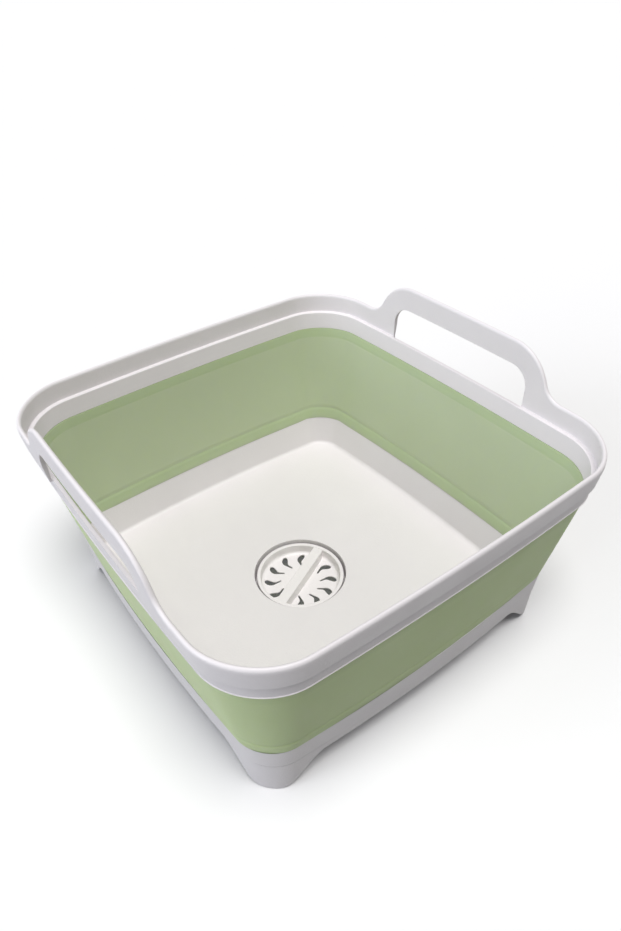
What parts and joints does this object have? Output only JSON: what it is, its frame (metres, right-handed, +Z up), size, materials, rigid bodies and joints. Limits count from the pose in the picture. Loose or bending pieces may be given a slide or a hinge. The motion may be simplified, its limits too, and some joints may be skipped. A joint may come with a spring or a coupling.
{
  "type": "collapsible camp washbasin",
  "caption": "Square washbasin with a soft folding wall: a rigid rim with handle arches comes down round a rigid footed tray, and a strainer plug sits in the drain.",
  "frame": {"origin": "on the table, under the middle of the basin", "axes": "+Z up, +X towards the right handle, +Y along the longer side"},
  "size_m": [0.3002, 0.3082, 0.1811],
  "materials": {
    "rim_plastic": "fine matt grain",
    "wall_rubber": "matt",
    "base_plastic": "fine matt grain",
    "strainer_plastic": "satin",
    "stopper_rubber": "matt"
  },
  "bodies": {
    "base": {"base_tray": "base_plastic", "bellows_wall": "wall_rubber"},
    "rim": {"rim_frame": "rim_plastic"},
    "stopper": {"rubber_stopper": "stopper_rubber"},
    "strainer": {"strainer_plug": "strainer_plastic"}
  },
  "joints": [
    {"name": "collapse", "type": "slide", "parent": "base", "child": "rim", "axis": [0, 0, -1], "range_m": [0, 0.116], "deforming": ["bellows_wall"]},
    {"name": "plug_lift", "type": "slide", "parent": "base", "child": "stopper", "axis": [0, 0, 1], "range_m": [0, 0.2]},
    {"name": "plug_turn", "type": "hinge", "parent": "stopper", "child": "strainer", "pos_m": [-0.0034, -0.001, 0.0024], "axis": [0, 0, 1], "continuous": true}
  ]
}
